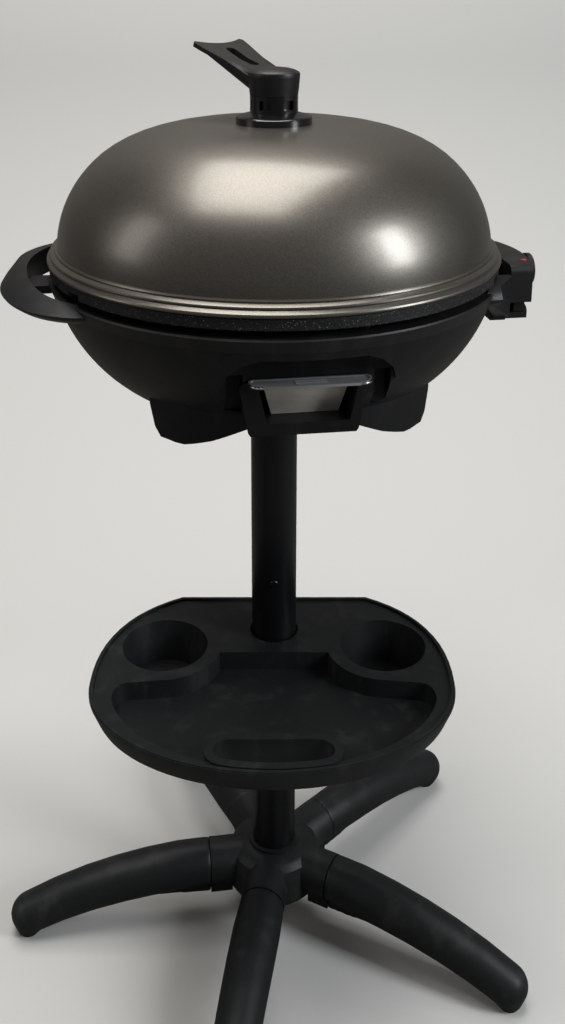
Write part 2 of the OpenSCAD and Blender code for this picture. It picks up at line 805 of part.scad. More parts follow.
module loop(top, near) {
    difference() {
        hull() {
            loop_slice(loop_bottom_z, 9, 0);
            loop_slice(loop_bottom_z + 5, 2, 0);
            loop_slice(seam_z + 7, 0, 0);
            loop_slice(seam_z + 14, 5, near / 4);
            loop_slice(top - 2, 15, near);
            loop_slice(top - 0.2, 21, near);
        }
        translate([loop_mid - 5, 0, loop_bottom_z - cut]) linear_extrude(loop_rise + 9)
            polygon(oval(loop_reach - loop_mid - loop_bar + 5, loop_half_w - 17, 64));
        translate([0, 0, loop_bottom_z - cut]) cylinder(r = seam_r, h = loop_rise + 9);
    }
}

module housing_notch() {
    translate([ledge_r - 8, -housing_w / 2 - slip, housing_z - slip])
        cube([loop_reach - ledge_r, housing_w + 2 * slip, loop_rise + 10]);
}

module handle_ring() {
    color("dimgray") {
        difference() {
            rotate_extrude() polygon([
                [seam_r + 1, seam_z], [seam_r + 5, ring_top_z - 1.5], [seam_r + 4, ring_top_z],
                [ring_in_r + 1, ring_top_z], [ring_in_r, ring_top_z - 1], [ring_in_r, ledge_z],
                [ledge_r, ledge_z], [ledge_r, ledge_z - ledge_t], [ledge_out_r, ledge_z - ledge_t],
                [ledge_out_r, seam_z]]);
            housing_notch();
            face_block(bowl_wall + slip);
            for (a = [45 : 90 : 315]) around(a) translate([post_r, 0, ledge_z - ledge_t - cut])
                cylinder(r = screw_r, h = ledge_t + 2 * cut);
        }
        mirror([1, 0, 0]) loop(loop_top_z, 50);
        difference() {
            loop(loop_top_z - right_loop_drop, 0);
            translate([seam_r - 20, -loop_half_w - cut, loop_bottom_z - cut])
                cube([loop_reach, loop_half_w + case_w / 2 + slip + cut, loop_rise + 10]);
        }
        translate([-loop_reach + loop_bar - 1, -bridge_w / 2, seam_z + 1])
            cube([loop_reach - loop_bar - seam_r, bridge_w, bridge_t - 4]);
        right_arm();
        difference() {
            shelf();
            housing_notch();
        }
    }
}

module right_arm() {
    difference() {
        hull() {
            translate([seam_r - 4, -case_w / 2 - 2, shelf_top_z - 2])
                cube([16, 6, ring_top_z - shelf_top_z]);
            around(-30) translate([seam_r - 3, -2, seam_z]) cube([5, 4, ring_h - 3]);
        }
        bowl_block(-slip);
        translate([0, 0, seam_z - cut]) cylinder(r = ring_in_r + 4, h = ring_h + cut);
    }
}

module shelf() {
    difference() {
        union() {
            translate([0, 0, shelf_top_z - shelf_t]) case_plan(base_inset - 3, shelf_t, seam_r - 6);
            translate([seam_r - 8, -case_w / 2, shelf_top_z - shelf_t])
                cube([case_x - seam_r + 4, case_w, seam_z - shelf_top_z + shelf_t]);
        }
        bowl_block(-slip);
        translate([gland_x - gland_r - 2, gland_y - gland_r - 2, shelf_top_z - shelf_t - cut])
            cube([loop_bar * 2, 2 * gland_r + 4, shelf_t + 2 * cut]);
    }
}

module ring_screws() {
    color("silver") for (a = [45 : 90 : 315]) around(a)
        translate([post_r, 0, ledge_z]) mirror([0, 0, 1]) screw(18);
}

module reflector() {
    color("silver") difference() {
        translate([0, 0, reflector_z]) cylinder(r = reflector_r, h = 1);
        translate([0, -drain_y, reflector_z - cut]) cylinder(r = 34, h = 1 + 2 * cut);
        face_block(bowl_wall + slip);
        pockets(pocket_wall + slip, slip);
        for (a = [45 : 90 : 315]) around(a) translate([post_r, 0, reflector_z - cut])
            cylinder(r = 5 + slip, h = 1 + 2 * cut);
    }
}

module corner_plan(w, l, r) {
    polygon([for (q = [[1, 1, 0], [-1, 1, 90], [-1, -1, 180], [1, -1, 270]], i = [0 : 6])
        [q[0] * (w - r) + r * cos(q[2] + 15 * i), q[1] * (l - r) + r * sin(q[2] + 15 * i)]]);
}

module pan_block(inset, lift) {
    intersection() {
        along_y(-pan_front_y + inset, pan_l - pan_front_y - inset) polygon([
            [-pan_floor_half_w + inset, pan_z + inset], [pan_floor_half_w - inset, pan_z + inset],
            [pan_half_w - inset, pan_top_z + lift], [-pan_half_w + inset, pan_top_z + lift]]);
        along_x(-pan_half_w, pan_half_w) polygon([
            [-pan_front_y + pan_slope + inset, pan_z], [pan_l - pan_front_y - pan_slope - inset, pan_z],
            [pan_l - pan_front_y - inset, pan_top_z + lift], [-pan_front_y + inset, pan_top_z + lift]]);
        translate([0, pan_l / 2 - pan_front_y, pan_z]) linear_extrude(pan_h + lift)
            corner_plan(pan_half_w - inset, pan_l / 2 - inset, pan_corner - inset);
    }
}

module pull_plate(z0, z1, inset) {
    translate([0, -recess_y - 1.7, z0]) linear_extrude(z1 - z0) both_halves() polygon(concat(
        [[-1, -inset], [pull_w / 2 - 4 - inset, -inset]],
        [for (i = [0 : 6]) bend([pull_w / 2 - 1 - inset, -3 - inset / 2], [pull_w / 2 - inset,
            -pull_l * 0.7],
            [pull_w / 2 - 10.5 - inset, -pull_l + 2 + inset], i / 6)],
        [[pull_w / 2 - 14 - inset, -pull_l + inset], [-1, -pull_l + inset]]));
}

module drip_tray() {
    color("silver") translate([drawer_x, 0, 0]) {
        difference() {
            pan_block(0, 0);
            pan_block(pan_wall, cut);
        }
        difference() {
            pull_plate(pull_z, pull_z + pull_t, 0);
            pull_plate(pull_z + pull_t - 0.8, pull_z + pull_t + cut, 2);
        }
        for (i = [0 : 2]) translate([-14, -recess_y - 9 - 5 * i, pull_z + pull_t - 1.2]) cube([28, 1.6,
            1.2]);
        translate([-pan_half_w + 2, -recess_y - 4, pan_top_z - pull_step]) cube([2 * pan_half_w - 4,
            recess_y + 5 - pan_front_y, pull_step]);
        translate([-pan_half_w + 2, -recess_y - 4, pan_top_z - pull_step])
            cube([2 * pan_half_w - 4, 2.2, pull_z + pull_t - pan_top_z + pull_step - 0.8]);
    }
}

module grill_plate() {
    color("dimgray") {
        difference() {
            rotate_extrude() polygon([
                [0, plate_under_z], [cook_r - 6, plate_under_z], [cook_r + 2, plate_rim_z],
                    [plate_r - 1, plate_rim_z],
                [plate_r, plate_rim_z + 1], [plate_r, plate_top_z - 1], [plate_r - 1, plate_top_z],
                [cook_r + 8, plate_top_z], [cook_r, cook_z], [0, cook_z]]);
            translate([0, -drain_y, plate_under_z - cut]) cylinder(r = drain_r, h = plate_t + 2 * cut);
            for (x = [-1, 1], y = [-1, 1])
                translate([x * arm_x - arm_w / 2, y * arm_y - arm_w / 2, plate_rim_z - cut])
                    cube([arm_w, arm_w, loop_top_z + slip - plate_rim_z + cut]);
            for (y = [-1, 1]) translate([tab_x, y * tab_y, plate_under_z - cut]) cylinder(r = screw_r,
                h = 6);
        }
        difference() {
            intersection() {
                for (i = [0 : ribs - 1]) translate([-rib_w / 2 + (i - (ribs - 1) / 2) * rib_pitch,
                    -cook_r, cook_z - cut])
                    cube([rib_w, 2 * cook_r, rib_h + cut]);
                translate([0, 0, cook_z - cut]) cylinder(r = cook_r - 8, h = rib_h + 2 * cut);
            }
            translate([0, -drain_y, cook_z - 2 * cut]) cylinder(r = drain_r + 8, h = rib_h + 3 * cut);
        }
        for (a = [15 : 90 : 285]) around(a) translate([post_r, 0, ledge_z])
            cylinder(r = 5, h = plate_rim_z - ledge_z + 1);
    }
}

module heating_element() {
    color("silver") translate([0, 0, element_z]) {
        around(lead_angle) rotate_extrude(angle = 360 - 2 * lead_angle)
            translate([element_loop_r, 0]) circle(element_r, $fn = 32);
        for (y = [-lead_y, lead_y]) translate([0, y, 0])
            rod_x(element_r, element_loop_r * cos(lead_angle) - element_r, lead_end);
    }
}

module terminal_housing() {
    color("black") difference() {
        union() {
            translate([housing_in, -housing_w / 2, housing_z])
                cube([plate_r - 6 - housing_in, housing_w, ring_top_z + 3 - housing_z]);
            translate([plate_r - 8, -housing_w / 2 + 2, housing_z])
                cube([housing_out - plate_r + 8, housing_w - 4, housing_top_z - housing_z]);
            for (y = [-1, 1]) translate([housing_in - tab_l, y * tab_y - tab_w / 2, plate_under_z - 7])
                cube([tab_l + 1, tab_w, 7]);
        }
        for (y = [-lead_y, lead_y]) translate([0, y, element_z]) {
            rod_x(element_r + run_fit, housing_in - cut, lead_end);
            rod_x(pin_r + run_fit, lead_end - cut, housing_out + cut);
        }
        translate([0, 0, element_z]) rod_x(probe_r + slip, housing_in - cut, housing_out + cut);
        for (y = [-1, 1]) translate([tab_x, y * tab_y, plate_under_z - 8]) cylinder(r = screw_r, h = 10);
    }
}

module terminal_pins() {
    color("silver") for (y = [-lead_y, lead_y]) translate([0, y, element_z])
        rod_x(pin_r, lead_end, lead_end + pin_l);
}

module housing_screws() {
    color("silver") for (y = [-1, 1]) translate([tab_x, y * tab_y, plate_under_z - 7]) screw(11);
}

module lid_shell() {
    color("gray") difference() {
        rotate_extrude() polygon(concat(
            [[lid_r - 4, lid_z], [lid_r - 1, lid_z], [lid_r - 0.2, lid_z + 0.8], [lid_r, lid_z + 2],
                [lid_r - 0.5, lid_z + 3.4],
             [lid_r - 2, lid_z + 4.4], [lid_r - 3.8, lid_z + 6.2], [lid_r - 3.1, lid_z + 7.6],
                 [lid_r - 3.4, lid_z + 9],
             [lid_r - 4.8, lid_z + 9.9], [lid_r - 8, lid_z + 11.2], [lid_r - 7.7, lid_z + 12.6],
                 [lid_r - 8.5, lid_z + 13.9]],
            dome_side(0), dome_top(0),
            [for (i = [1 : 12]) dome_top(lid_wall)[12 - i]],
            [for (i = [0 : 12]) dome_side(lid_wall)[12 - i]],
            [[lid_r - 11.6, lid_z + 11], [lid_r - 7, lid_z + 8.5], [lid_r - 5, lid_z + 4]]));
        translate([0, 0, crown_z - 2 * lid_wall]) cylinder(r = pivot_r + slip, h = 3 * lid_wall);
        vent_holes(crown_z - 2 * lid_wall, 3 * lid_wall);
    }
}

module vent_holes(z, h) {
    for (a = [0 : 60 : 300]) around(a) translate([vent_hole_r, 0, z]) cylinder(r = 4, h = h);
}

module windows(turn, r_in) {
    around(turn) for (i = [0 : vent_windows - 1]) around(360 / vent_windows * i)
        translate([r_in, -window_w / 2, collar_z + 4]) cube([8, window_w, collar_h - 8]);
}

module vent_base() {
    color("black") difference() {
        rotate_extrude() polygon([
            [0, crown_z], [flange_r, crown_z], [flange_r, crown_z + flange_h - 4.5], [flange_r - 0.8,
                crown_z + flange_h - 3.7],
            [collar_r + 3, collar_z - 0.8], [collar_r, collar_z], [collar_r, collar_z + collar_h],
            [collar_r - collar_wall, collar_z + collar_h], [collar_r - collar_wall, vent_floor_z],
            [pivot_boss_r, vent_floor_z], [pivot_boss_r, collar_z + collar_h - 4], [0,
                collar_z + collar_h - 4]]);
        translate([0, 0, crown_z - cut]) cylinder(r = pivot_r + run_fit, h = flange_h + collar_h + 2 * cut);
        vent_holes(crown_z - cut, vent_floor_z - crown_z + 2 * cut);
        windows(0, collar_r - collar_wall - 2);
    }
}

module vent_shutter() {
    color("silver") difference() {
        translate([0, 0, vent_floor_z + slip]) cylinder(r = shutter_r, h = knob_z - vent_floor_z - slip);
        translate([0, 0, vent_floor_z]) cylinder(r = shutter_r - shutter_wall,
            h = knob_z - vent_floor_z - shutter_wall);
        translate([0, 0, vent_floor_z]) cylinder(r = pivot_r + slip, h = knob_h + collar_h);
        windows(180 / vent_windows, shutter_r - 4);
    }
}

module lever_plan() {
    polygon(concat(
        [[0, collar_r], [lever_reach * 0.55, collar_r + 1], [lever_reach - 12, lever_w / 2 - 1.5],
            [lever_reach + 1, lever_w / 2]],
        [for (i = [0 : 8]) bend([lever_reach + 4, lever_w / 2 - 3], [lever_reach - 12, 0],
            [lever_reach + 4, -lever_w / 2 + 3], i / 8)],
        [[lever_reach + 1, -lever_w / 2], [lever_reach - 12, -lever_w / 2 + 1.5], [lever_reach * 0.55,
            -collar_r - 1],
         [0, -collar_r]]));
}

module lid_handle() {
    color("black") around(lever_turn) difference() {
        union() {
            rotate_extrude() polygon([
                [0, knob_z], [collar_r, knob_z], [collar_r + 1, knob_z + 8], [collar_r + 2, knob_top_z - 7],
                [collar_r + 1.4, knob_top_z - 5], [collar_r - 2, knob_top_z - 3], [collar_r - 8,
                    knob_top_z - 1.2],
                [collar_r - 15, knob_top_z - 0.3], [0, knob_top_z]]);
            translate([0, 0, lever_z]) rotate([0, -lever_rise, 0]) linear_extrude(lever_t) lever_plan();
            hull() {
                translate([0, 0, knob_z + 3]) cylinder(r = collar_r - 3, h = knob_h - 14, $fn = hull_fn);
                translate([0, 0, lever_z]) rotate([0, -lever_rise, 0])
                    translate([lever_reach - 16, -lever_w / 2 + 10, -4]) cube([4, lever_w - 20, 4.5]);
            }
        }
        translate([0, 0, lever_z]) rotate([0, -lever_rise, 0])
            translate([collar_r + 12, 0, -40]) lever_slot();
        translate([0, 0, knob_z - cut]) cylinder(r = pivot_r + run_fit, h = pivot_grip + cut);
    }
}

module lever_slot() {
    translate([0, -lever_slot_w / 2, 0]) cube([lever_slot_l, lever_slot_w, 60]);
    cylinder(r = lever_slot_w / 2, h = 60);
    translate([lever_slot_l, 0, 0]) cylinder(r = lever_slot_w / 2, h = 60);
}

module lid_bolt() {
    color("silver") {
        translate([0, 0, crown_z - lid_wall - washer_t]) cylinder(r = pivot_r,
            h = knob_z + pivot_grip - 1 - crown_z + lid_wall + washer_t);
        translate([0, 0, crown_z - lid_wall - washer_t - 4]) cylinder(r = 6, h = 4, $fn = 6);
    }
}

module lid_washer() {
    color("silver") tube(9, pivot_r + slip, crown_z - lid_wall - washer_t, crown_z - lid_wall);
}

module case_plan(inset, h, x0) {
    intersection() {
        translate([dial_x - case_arc_r, 0, 0]) cylinder(r = case_arc_r - inset, h = h);
        translate([x0, -case_w / 2 + inset, 0]) cube([loop_bar * 2 + 20, case_w - 2 * inset, h]);
    }
}

module controller_case() {
    color("dimgray") difference() {
        intersection() {
            translate([dial_x - case_arc_r, 0, case_z]) rotate_extrude() polygon(concat(
                [[0, 0], [case_arc_r, 0]],
                [for (i = [0 : 6]) [case_arc_r - case_round * (1 - cos(15 * i)),
                    case_h - case_round * (1 - sin(15 * i))]],
                [[0, case_h]]));
            along_x(case_x, dial_x + cut) polygon(concat(
                [[-case_w / 2, case_z], [case_w / 2, case_z]],
                [for (i = [0 : 6]) [case_w / 2 - case_round * (1 - cos(15 * i)),
                    case_top_z - case_round * (1 - sin(15 * i))]],
                [for (i = [0 : 6]) [-case_w / 2 + case_round * (1 - sin(15 * i)),
                    case_top_z - case_round * (1 - cos(15 * i))]]));
        }
        translate([0, 0, case_z - cut]) case_plan(case_wall, case_h - case_wall + cut, case_x + case_wall);
        for (y = [-lead_y, lead_y]) translate([0, y, element_z]) rod_x(pin_r + run_fit, case_x - cut,
            case_x + case_wall + cut);
        translate([0, 0, element_z]) rod_x(probe_r, case_x - cut, case_x + case_wall + cut);
        translate([0, 0, dial_z]) rod_x(spindle_r + run_fit, dial_x - case_wall - cut, dial_x + cut);
        translate([case_x + lamp_x, -lamp_y, case_top_z - case_wall - cut]) cylinder(r = lamp_r,
            h = case_wall + 2 * cut);
    }
}

module controller_base() {
    color("black") {
        translate([0, 0, base_z]) case_plan(base_inset, case_z + 2 - base_z, case_x + base_inset);
        translate([0, 0, case_z]) case_plan(case_wall, 2, case_x + case_wall);
    }
}

module probe() {
    color("silver") translate([0, 0, element_z]) {
        rod_x(probe_r, case_x - probe_l, case_x + case_wall);
        translate([case_x - probe_l, 0, 0]) sphere(probe_r);
        rod_x(probe_r * 2, case_x + case_wall, case_x + case_wall + 3);
    }
}

module dial() {
    color("black") translate([0, 0, dial_z]) difference() {
        union() {
            rod_x(dial_d / 2, dial_x + slip, dial_x + dial_t - 1);
            translate([dial_x + dial_t - 1, 0, 0]) rotate([0, 90, 0]) cylinder(r1 = dial_d / 2,
                r2 = dial_d / 2 - 1, h = 1);
            translate([dial_x + dial_t - cut, -1.5, dial_d / 4]) cube([1.6, 3, dial_d / 4 - 2]);
        }
        rod_x(spindle_r, dial_x, dial_x + dial_t - 2);
    }
}

module dial_spindle() {
    color("silver") translate([0, 0, dial_z]) rod_x(spindle_r, dial_x - 9, dial_x + dial_t - 2);
}

module pilot_lamp() {
    color("red") translate([case_x + lamp_x, -lamp_y, case_top_z - case_wall]) cylinder(r = lamp_r,
        h = case_wall + 0.6);
}

module cord_gland() {
    color("black") translate([gland_x, gland_y, base_z - 12]) difference() {
        cylinder(r1 = gland_r - 1.5, r2 = gland_r, h = 12);
        translate([0, 0, -cut]) cylinder(r = 3.4, h = 12);
    }
}

base_hub();
hub_collar();
pole_plug();
pole_washer();
pole_bolt();
leg_1();
leg_2();
leg_3();
leg_4();
leg_5();
foot_pad_1();
foot_pad_2();
foot_pad_3();
foot_pad_4();
foot_pad_5();
leg_screws();
lower_pole();
upper_pole();
pole_coupling();
snap_button();
button_spring();
side_tray();
tray_screws();
bowl();
handle_ring();
ring_screws();
pole_socket();
socket_screws();
reflector();
drip_tray();
grill_plate();
heating_element();
terminal_housing();
terminal_pins();
housing_screws();
lid_shell();
vent_base();
vent_shutter();
lid_handle();
lid_bolt();
lid_washer();
controller_case();
controller_base();
probe();
dial();
dial_spindle();
pilot_lamp();
cord_gland();
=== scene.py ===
"""Looks of a free-standing electric grill: its finishes, its smooth mouldings, its small
trim, the studio floor, the lights and the camera. Every length is in metres."""

import json
import math

import bpy
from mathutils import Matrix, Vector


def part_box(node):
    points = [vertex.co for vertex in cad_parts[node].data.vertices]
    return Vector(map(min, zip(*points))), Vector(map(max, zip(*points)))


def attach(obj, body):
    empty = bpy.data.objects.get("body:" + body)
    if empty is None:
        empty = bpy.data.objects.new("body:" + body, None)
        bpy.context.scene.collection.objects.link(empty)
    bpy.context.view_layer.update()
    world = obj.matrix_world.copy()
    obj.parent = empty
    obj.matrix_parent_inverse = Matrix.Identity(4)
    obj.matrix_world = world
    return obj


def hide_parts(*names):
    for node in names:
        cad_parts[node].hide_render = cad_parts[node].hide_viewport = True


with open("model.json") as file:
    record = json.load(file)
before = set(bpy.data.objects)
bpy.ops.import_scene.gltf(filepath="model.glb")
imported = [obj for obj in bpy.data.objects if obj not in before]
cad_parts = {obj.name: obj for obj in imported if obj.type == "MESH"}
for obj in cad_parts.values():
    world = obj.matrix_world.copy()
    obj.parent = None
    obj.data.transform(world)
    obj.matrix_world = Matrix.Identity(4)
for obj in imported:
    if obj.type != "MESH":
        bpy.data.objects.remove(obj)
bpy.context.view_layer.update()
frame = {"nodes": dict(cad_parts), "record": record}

bl_info = {
    "name": "Electric Grill Looks",
    "version": (1, 0, 0),
    "blender": (4, 5, 0),
    "location": "View3D > Sidebar > Grill",
    "description": "Dresses the packed electric grill with its finishes and trim",
    "category": "Object",
}

SLOT_OF = {part["node"]: part["material_slot"] for part in frame["record"]["subparts"]}
BODY_OF = {
    node: body
    for body, nodes in frame["record"]["behaviour"]["bodies"].items()
    for node in nodes
}
PULL_LOW, PULL_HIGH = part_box("drip_tray")
DIAL_LOW, DIAL_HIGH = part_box("dial")
FINISHES = {}
WELD = 0.00002
SOFTENING = 6
FLANGE = 0.0031
LAMP_AIM = 0.7
DIAL_SWEEP = 270
DIAL_MARGIN = 0.0015
TOP_LAMP = {"place": (-0.2, 0.1, 2.9), "width": 2.2, "height": 1.5, "tint": (1.0, 0.985, 0.96)}
SIDE_LAMP = {"place": (2.0, -1.3, 1.75), "width": 0.6, "height": 1.3, "tint": (0.92, 0.97, 1.0)}
LEFT_LAMP = {"place": (-2.6, -0.2, 1.9), "width": 0.8, "height": 1.6, "tint": (1.0, 0.98, 0.95)}
LEFT_SHARE = 0.2


class Wire:
    """One output of a shader node, with which sums are written as Python."""

    def __init__(self, finish, socket):
        self.finish = finish
        self.socket = socket

    def sum(self, operation, first, second=0.0):
        return self.finish.node(
            "ShaderNodeMath", {"operation": operation}, {0: first, 1: second}
        )

    def __add__(self, other):
        return self.sum("ADD", self, other)

    def __radd__(self, other):
        return self.sum("ADD", other, self)

    def __sub__(self, other):
        return self.sum("SUBTRACT", self, other)

    def __rsub__(self, other):
        return self.sum("SUBTRACT", other, self)

    def __mul__(self, other):
        return self.sum("MULTIPLY", self, other)

    def __rmul__(self, other):
        return self.sum("MULTIPLY", other, self)

    def above(self, edge, width):
        """0 below the edge, 1 above it, with a soft step of that width."""
        return self.finish.node(
            "ShaderNodeMapRange",
            {"interpolation_type": "SMOOTHSTEP"},
            {"Value": self, "From Min": edge - width / 2, "From Max": edge + width / 2},
        )


class Finish:
    """A material whose pattern lies on the object's own coordinates."""

    def __init__(self, name, roughness, fixed=()):
        self.material = bpy.data.materials.new(name + "_finish")
        self.material.use_nodes = True
        self.tree = self.material.node_tree
        self.shader = self.tree.nodes["Principled BSDF"]
        self.shader.inputs["Roughness"].default_value = roughness
        for socket, value in dict(fixed).items():
            self.shader.inputs[socket].default_value = value
        self.place = self.node("ShaderNodeTexCoord", {}, {}, "Object")

    def node(self, kind, settings, inputs, output=0):
        """Adds a node, sets it, fills or links its sockets and gives back one output."""
        made = self.tree.nodes.new(kind)
        for setting, value in settings.items():
            if setting == "stops":
                ramp = made.color_ramp.elements
                while len(ramp) < len(value):
                    ramp.new(0.5)
                for stop, (position, tone) in zip(ramp, value):
                    stop.position = position
                    stop.color = tone
            else:
                setattr(made, setting, value)
        for socket, value in inputs.items():
            if isinstance(value, Wire):
                self.tree.links.new(value.socket, made.inputs[socket])
            else:
                made.inputs[socket].default_value = value
        return Wire(self, made.outputs[output])

    def stretched(self, scale):
        """The object's coordinates, drawn out by that scale on each axis."""
        return self.node("ShaderNodeMapping", {}, {"Vector": self.place, "Scale": scale})

    def noise(self, scale, detail=2.0, rough=0.5, place=None):
        return self.node(
            "ShaderNodeTexNoise",
            {},
            {
                "Vector": place or self.place,
                "Scale": scale,
                "Detail": detail,
                "Roughness": rough,
            },
        )

    def cells(self, scale, output="Distance"):
        return self.node(
            "ShaderNodeTexVoronoi", {}, {"Vector": self.place, "Scale": scale}, output
        )

    def blend(self, amount, first, second):
        """The first colour where amount is 0 and the second where it is 1."""
        return self.node(
            "ShaderNodeMix",
            {"data_type": "RGBA"},
            {"Factor": amount, 6: first, 7: second},
            2,
        )

    def feed(self, socket, value):
        self.tree.links.new(value.socket, self.shader.inputs[socket])

    def bump(self, height, depth, strength=1.0):
        """Raises the surface by the height, from 0 to 1, times depth in metres."""
        normal = self.node(
            "ShaderNodeBump", {}, {"Height": height, "Distance": depth, "Strength": strength}
        )
        self.feed("Normal", normal)


def shade(colour, factor):
    """A colour made lighter or darker, with its alpha."""
    return tuple(channel * factor for channel in colour[:3]) + (1.0,)


def moulded_plastic(name, colour, roughness, grain, dust):
    """Charcoal plastic with a spark-eroded grain, faint flow marks and a little dust."""
    finish = Finish(name, roughness, {"Specular IOR Level": 0.36})
    cloud = finish.noise(9.0, 3.0)
    grit = finish.noise(2600.0, 2.0, 0.6)
    smear = finish.noise(38.0, 4.0, 0.62, finish.stretched((1.0, 1.0, 0.35)))
    tone = finish.blend(cloud, shade(colour, 0.84), shade(colour, 1.18))
    tone = finish.blend(grit.above(0.62, 0.12) * 0.35, tone, shade(colour, 1.9))
    settled = smear.above(0.6, 0.2) * cloud * dust
    tone = finish.blend(settled, tone, (0.1, 0.098, 0.092, 1.0))
    finish.feed("Base Color", tone)
    finish.feed("Roughness", roughness - 0.07 + grit * 0.1 + smear * 0.06)
    height = finish.noise(grain, 3.0, 0.65) * 0.75 + finish.cells(grain * 0.8) * 0.25
    finish.bump(height, 0.00012, 0.55)
    return finish.material


def lid_enamel(name, colour):
    """Warm grey metallic enamel: fine flakes, a slight orange peel and a clear coat."""
    finish = Finish(name, 0.36, {"Metallic": 0.8, "Coat Roughness": 0.16})
    cloud = finish.noise(5.5, 2.0)
    flake = finish.cells(2300.0, "Color")
    bright = finish.node("ShaderNodeSeparateColor", {}, {"Color": flake})
    peel = finish.noise(160.0, 2.0, 0.45)
    tone = finish.blend(cloud, shade(colour, 0.93), shade(colour, 1.07))
    tone = finish.blend(bright.above(0.8, 0.25) * 0.4, tone, shade(colour, 1.65))
    tone = finish.blend(bright.above(0.18, 0.2), shade(colour, 0.72), tone)
    finish.feed("Base Color", tone)
    finish.feed("Roughness", 0.29 + cloud * 0.05 + bright * 0.05)
    finish.feed("Coat Weight", 0.22 + peel * 0.16)
    finish.bump(peel * 0.7 + bright * 0.3, 0.00007, 0.35)
    return finish.material


def powder_coat(name, colour):
    """Satin black powder coat on a tube, with its fine pebbling and faint draw lines."""
    finish = Finish(name, 0.34, {"Specular IOR Level": 0.35, "Coat Roughness": 0.3})
    pebble = finish.noise(1400.0, 3.0, 0.6)
    lines = finish.noise(60.0, 3.0, 0.5, finish.stretched((14.0, 14.0, 0.25)))
    rub = finish.noise(26.0, 4.0, 0.6).above(0.66, 0.14)
    tone = finish.blend(lines, shade(colour, 0.82), shade(colour, 1.25))
    tone = finish.blend(rub * 0.25, tone, shade(colour, 2.4))
    finish.feed("Base Color", tone)
    finish.feed("Roughness", 0.3 + pebble * 0.08 + rub * 0.08)
    finish.feed("Coat Weight", lines * 0.06)
    finish.bump(pebble * 0.7 + lines * 0.3, 0.00008, 0.4)
    return finish.material


def speckled_coat(name, colour):
    """Dark non-stick coat with pale and grey specks and a dry, pebbled surface."""
    finish = Finish(name, 0.46, {"Metallic": 0.25, "Specular IOR Level": 0.5})
    fine = finish.cells(760.0)
    large = finish.cells(330.0)
    cloud = finish.noise(14.0, 3.0)
    specks = 1.0 - fine.above(0.2, 0.1)
    flecks = 1.0 - large.above(0.13, 0.07)
    tone = finish.blend(cloud, shade(colour, 0.8), shade(colour, 1.25))
    tone = finish.blend(specks * cloud.above(0.45, 0.3) * 0.55, tone, (0.3, 0.3, 0.29, 1.0))
    tone = finish.blend(flecks * 0.8, tone, (0.42, 0.42, 0.41, 1.0))
    finish.feed("Base Color", tone)
    finish.feed("Roughness", 0.42 + cloud * 0.1 - flecks * 0.08)
    finish.bump(finish.noise(900.0, 3.0, 0.6) * 0.7 + flecks * 0.3, 0.00012, 0.6)
    return finish.material


def drawn_steel(name, colour, roughness, stretch, tarnish):
    """Steel with fine rolling or brushing lines and patches of tarnish."""
    finish = Finish(name, roughness, {"Metallic": 1.0})
    lines = finish.noise(90.0, 5.0, 0.68, finish.stretched(stretch))
    patch = finish.noise(34.0, 4.0, 0.6).above(0.55, 0.3) * tarnish
    scratch = finish.noise(240.0, 2.0, 0.4, finish.stretched((1.0, 9.0, 1.0))).above(0.7, 0.06)
    tone = finish.blend(lines, shade(colour, 0.78), shade(colour, 1.12))
    tone = finish.blend(patch, tone, (colour[0] * 0.5, colour[1] * 0.42, colour[2] * 0.34, 1.0))
    finish.feed("Base Color", tone)
    finish.feed("Roughness", roughness - 0.06 + lines * 0.14 + patch * 0.25)
    finish.bump(lines * 0.8 + scratch * 0.2, 0.00003, 0.5)
    return finish.material


def pan_coat(name, pan, flange, split_z):
    """Warm silver pan with drawing marks under a dark graphite pull flange."""
    finish = Finish(name, 0.34, {"Metallic": 0.45})
    axes = finish.node("ShaderNodeSeparateXYZ", {}, {"Vector": finish.place}, "Z")
    upper = axes.above(split_z, 0.0006)
    lines = finish.noise(70.0, 5.0, 0.62, finish.stretched((1.0, 0.5, 5.0)))
    cloud = finish.noise(22.0, 3.0)
    flake = finish.noise(2400.0, 1.0)
    low = finish.blend(lines, shade(pan, 0.78), shade(pan, 1.15))
    low = finish.blend(cloud.above(0.58, 0.3) * 0.5, low, shade(pan, 0.62))
    high = finish.blend(flake, shade(flange, 0.7), shade(flange, 1.5))
    finish.feed("Base Color", finish.blend(upper, low, high))
    finish.feed("Roughness", 0.33 + lines * 0.12 + upper * 0.06)
    finish.bump(lines * 0.7 + flake * 0.3, 0.00004, 0.5)
    return finish.material


def oxidised_sheath(name, colour):
    """Dull heating-element sheath with brown and blue heat tints along its length."""
    finish = Finish(name, 0.48, {"Metallic": 0.9})
    heat = finish.noise(11.0, 3.0)
    grit = finish.noise(900.0, 3.0, 0.6)
    tone = finish.node(
        "ShaderNodeValToRGB",
        {
            "stops": [
                (0.2, shade(colour, 0.7)),
                (0.45, shade(colour, 1.0)),
                (0.6, (0.24, 0.15, 0.09, 1.0)),
                (0.8, (0.11, 0.12, 0.16, 1.0)),
            ]
        },
        {"Fac": heat},
    )
    finish.feed("Base Color", finish.blend(grit.above(0.6, 0.2) * 0.4, tone, shade(colour, 0.45)))
    finish.feed("Roughness", 0.42 + grit * 0.2)
    finish.bump(grit, 0.00006, 0.6)
    return finish.material


